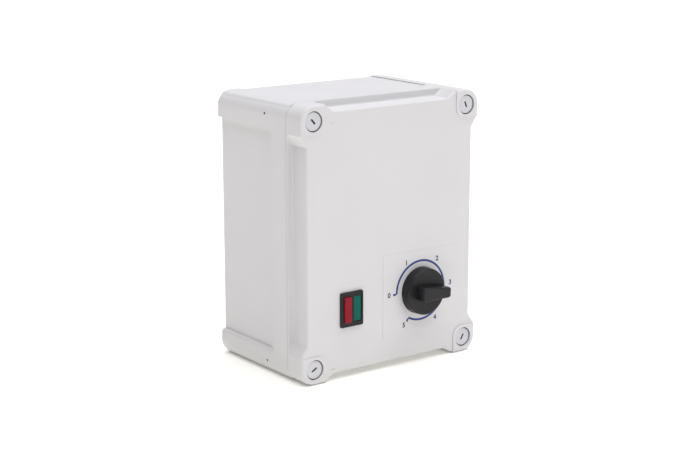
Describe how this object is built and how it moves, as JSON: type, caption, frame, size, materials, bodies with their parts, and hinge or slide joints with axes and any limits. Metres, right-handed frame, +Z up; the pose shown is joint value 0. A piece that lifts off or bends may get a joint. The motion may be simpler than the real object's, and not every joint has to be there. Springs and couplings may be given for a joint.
{
  "type": "variable autotransformer",
  "caption": "Wall-box variable autotransformer with a lid on quarter-turn screws, a scaled dial knob and a stop and start button pair.",
  "frame": {"origin": "below the middle of the whole object, on the surface it stands on, midway between the knob's tip and the back", "axes": "+X to the right seen from the front, +Y from the front towards the back, +Z up"},
  "size_m": [0.2, 0.153, 0.25],
  "materials": {
    "case_plastic": "light grey ABS, fine moulded texture, semi-matt",
    "screw_plastic": "white polyamide, semi-matt",
    "receiver_plastic": "grey glass-filled polyamide",
    "seal_rubber": "dark grey elastomer",
    "gasket_foam": "light grey foam rubber",
    "grommet_rubber": "light grey elastomer",
    "switch_black": "black moulded plastic, satin",
    "button_red": "red translucent plastic, satin",
    "button_green": "green translucent plastic, satin",
    "spring_steel": "bright spring wire",
    "tinned_brass": "tinned brass",
    "copper": "enamelled copper wire",
    "label_film": "printed polycarbonate film, satin",
    "knob_black": "black phenolic, satin",
    "bright_steel": "ground steel",
    "core_steel": "wound electrical steel strip",
    "fibre": "pressboard",
    "cast_aluminium": "sand-cast, as cast",
    "bakelite": "brown phenolic",
    "bronze": "sintered bronze",
    "graphite": "pressed carbon",
    "zinc_plate": "zinc-plated sheet",
    "terminal_grey": "grey polyamide",
    "earth_yellow": "green-yellow polyamide",
    "glass": "clear glass tube",
    "wire_brown": "brown PVC sleeve"
  },
  "bodies": {
    "enclosure": {"enclosure_base": "case_plastic", "lid": "case_plastic", "lid_gasket": "gasket_foam", "shaft_seal": "seal_rubber", "cable_grommets": "grommet_rubber", "screw_receivers": "receiver_plastic", "switch_housing": "switch_black", "switch_back": "switch_black", "switch_terminals": "tinned_brass", "release_coil": "copper", "red_spring": "spring_steel", "green_spring": "spring_steel", "dial_label": "label_film", "coil_core": "core_steel", "core_cups": "fibre", "winding": "copper", "variac_base": "cast_aluminium", "rear_insulator": "fibre", "front_spider": "bakelite", "clamp_bolts": "zinc_plate", "shaft_bushes": "bronze", "end_stop": "seal_rubber", "mounting_plate": "zinc_plate", "plate_screws": "zinc_plate", "terminal_rail": "zinc_plate", "terminal_blocks": "terminal_grey", "earth_terminal": "earth_yellow", "rail_end_stops": "terminal_grey", "fuse_holder": "switch_black", "fuse_clips": "tinned_brass", "fuse": "glass", "earth_stud": "tinned_brass", "supply_wires": "wire_brown", "coil_wires": "wire_brown"},
    "dial": {"dial_knob": "knob_black", "shaft": "bright_steel", "shaft_clip": "spring_steel", "grub_screws": "bright_steel", "brush_arm": "cast_aluminium", "brush_holder": "tinned_brass", "carbon_brush": "graphite", "brush_spring": "spring_steel"},
    "stop_button": {"red_button": "button_red"},
    "start_button": {"green_button": "button_green"},
    "screw_tl": {"cover_screw_tl": "screw_plastic"},
    "screw_tr": {"cover_screw_tr": "screw_plastic"},
    "screw_bl": {"cover_screw_bl": "screw_plastic"},
    "screw_br": {"cover_screw_br": "screw_plastic"}
  },
  "joints": [
    {"name": "dial_turn", "type": "hinge", "parent": "enclosure", "child": "dial", "pos_m": [0.0339, -0.0555, 0.0683], "axis": [0, 1, 0], "range_deg": [-183, 117]},
    {"name": "stop_press", "type": "slide", "parent": "enclosure", "child": "stop_button", "axis": [0, 1, 0], "range_m": [0, 0.003], "stiffness_N_per_m": 400, "springref_m": -0.002, "deforming": ["red_spring"]},
    {"name": "start_press", "type": "slide", "parent": "enclosure", "child": "start_button", "axis": [0, 1, 0], "range_m": [0, 0.003], "stiffness_N_per_m": 400, "springref_m": -0.002, "deforming": ["green_spring"]},
    {"name": "screw_turn_tl", "type": "hinge", "parent": "enclosure", "child": "screw_tl", "pos_m": [-0.086, -0.0555, 0.236], "axis": [0, -1, 0], "range_deg": [0, 90]},
    {"name": "screw_turn_tr", "type": "hinge", "parent": "enclosure", "child": "screw_tr", "pos_m": [0.086, -0.0555, 0.236], "axis": [0, -1, 0], "range_deg": [0, 90]},
    {"name": "screw_turn_bl", "type": "hinge", "parent": "enclosure", "child": "screw_bl", "pos_m": [-0.086, -0.0555, 0.014], "axis": [0, -1, 0], "range_deg": [0, 90]},
    {"name": "screw_turn_br", "type": "hinge", "parent": "enclosure", "child": "screw_br", "pos_m": [0.086, -0.0555, 0.014], "axis": [0, -1, 0], "range_deg": [0, 90]}
  ]
}
